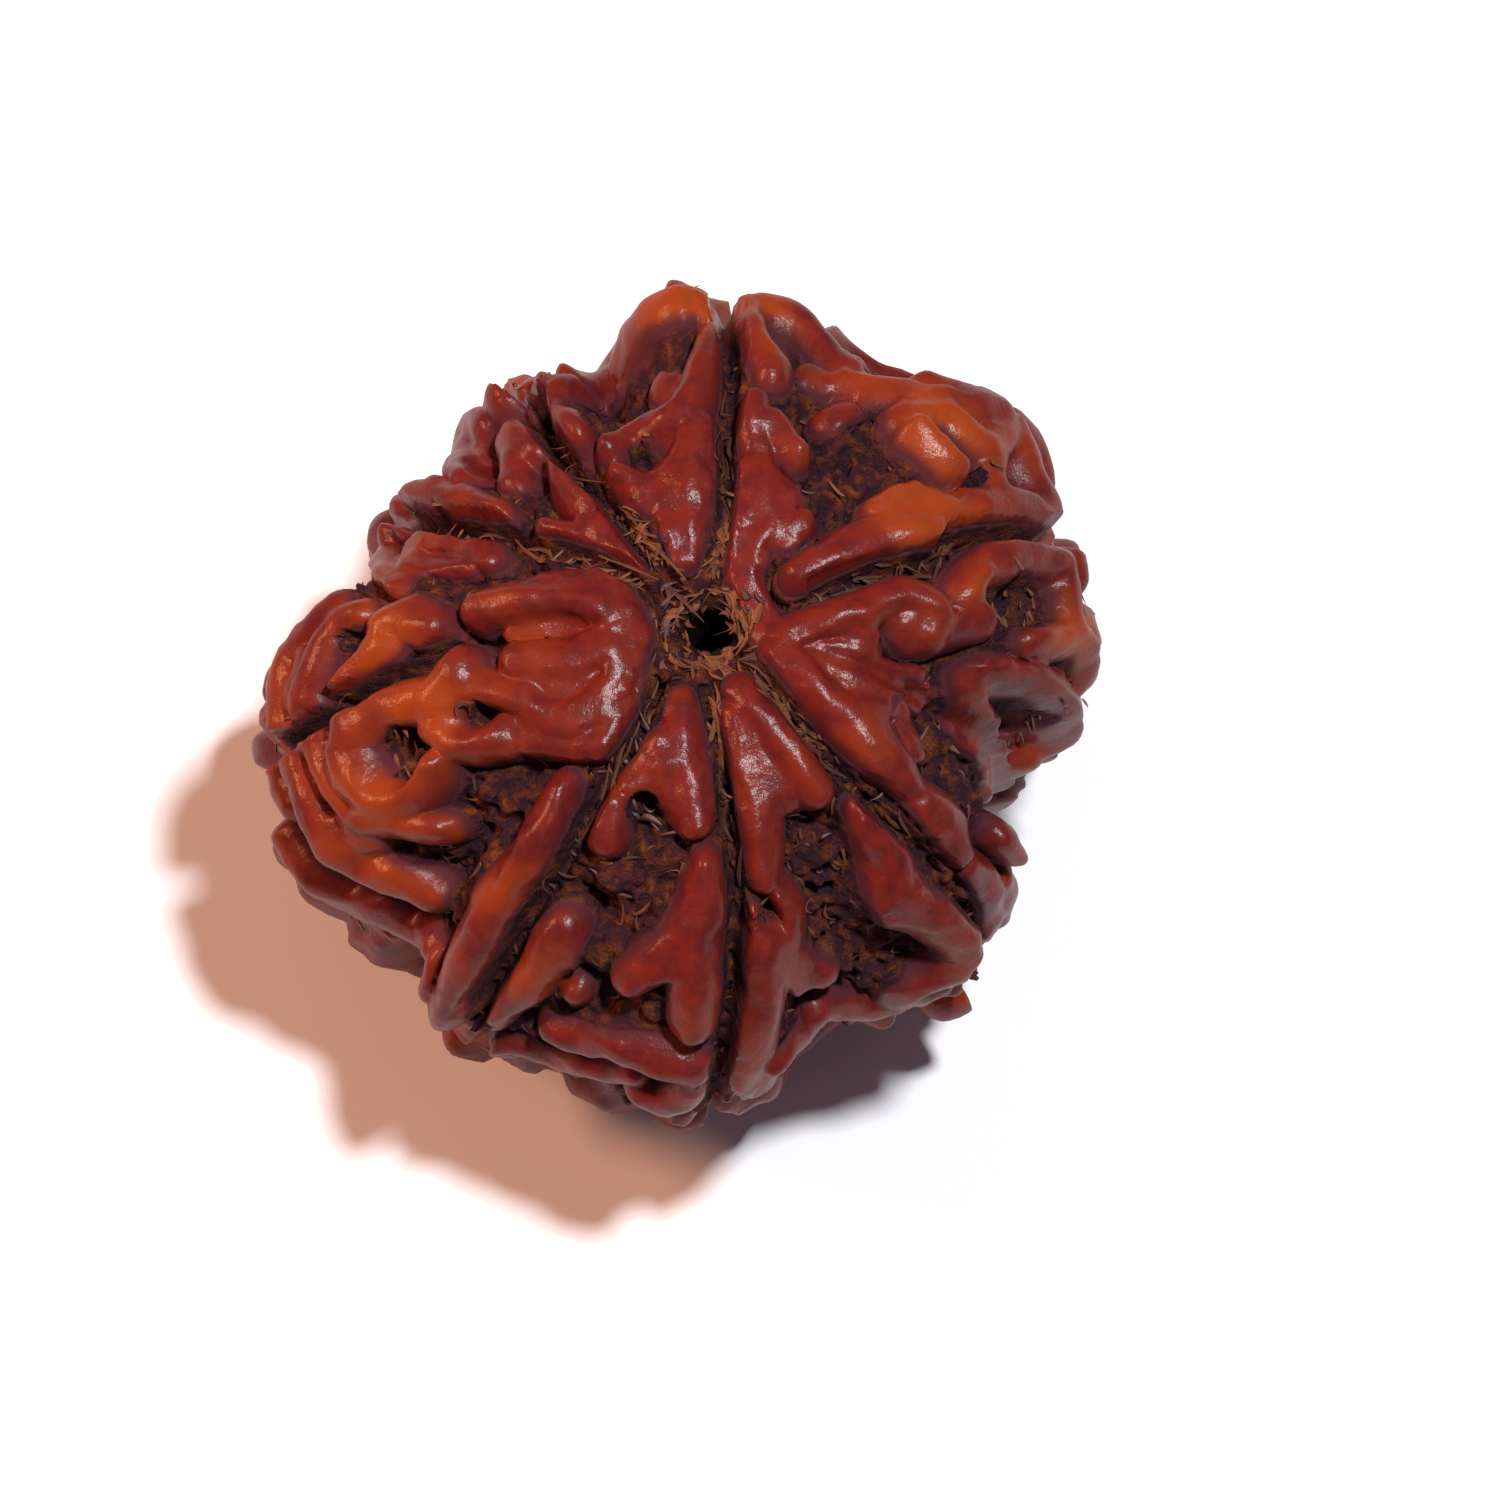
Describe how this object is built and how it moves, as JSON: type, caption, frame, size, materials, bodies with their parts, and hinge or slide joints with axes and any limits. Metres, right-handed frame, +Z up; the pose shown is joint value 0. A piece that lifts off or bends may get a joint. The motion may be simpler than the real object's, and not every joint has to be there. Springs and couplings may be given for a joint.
{
  "type": "ganesh rudraksha",
  "caption": "Dried rudraksha stone: a lobed, grooved natural bead with worm-like ridges, one raised trunk-like lobe and a channel for a cord along its axis.",
  "frame": {"origin": "on the ground, under the middle of the stone's box", "axes": "+Z up along the stalk channel, +X to the right in the picture, -Y towards the viewer"},
  "size_m": [0.0258, 0.027, 0.0188],
  "materials": {
    "seed_shell": "waxy ridges over rough fibrous valleys"
  },
  "bodies": {
    "root": {"seed": "seed_shell"}
  },
  "joints": []
}
